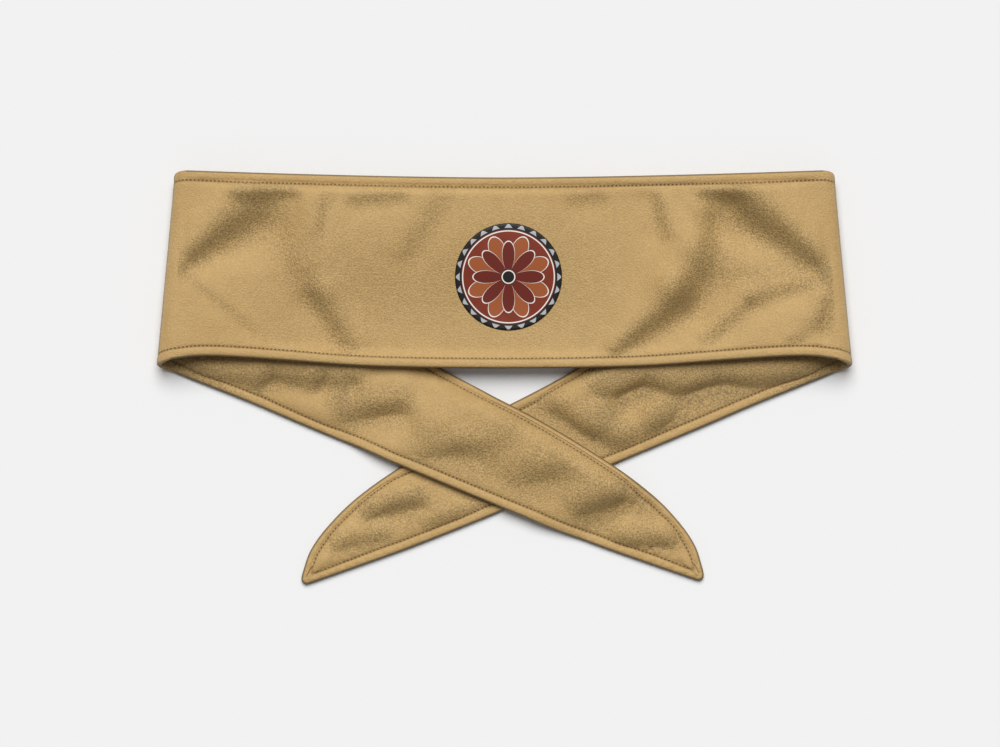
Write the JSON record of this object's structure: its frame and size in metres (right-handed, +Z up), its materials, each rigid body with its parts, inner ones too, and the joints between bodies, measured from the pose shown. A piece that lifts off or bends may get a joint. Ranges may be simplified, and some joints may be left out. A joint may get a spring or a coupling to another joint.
{
  "type": "tie headband",
  "caption": "Wide two-layer cloth headband with a round print on its front panel and two tapered ties, lying flat with its ends folded under and crossed.",
  "frame": {"origin": "centre of the bounding box's bottom face, on the table that the band lies on", "axes": "+X along the front panel, +Y from the tips of the ties to the panel's upper edge, +Z up from the table"},
  "size_m": [0.3118, 0.1858, 0.0145],
  "materials": {
    "cloth": "tan knitted polyester with a fine grain and a soft sheen, topstitched along its edge",
    "emblem_print": "heat-pressed print in rust red, brown, black, white and grey"
  },
  "bodies": {
    "root": {"outer_layer": "cloth", "inner_layer": "cloth", "printed_emblem": "emblem_print"}
  },
  "joints": []
}
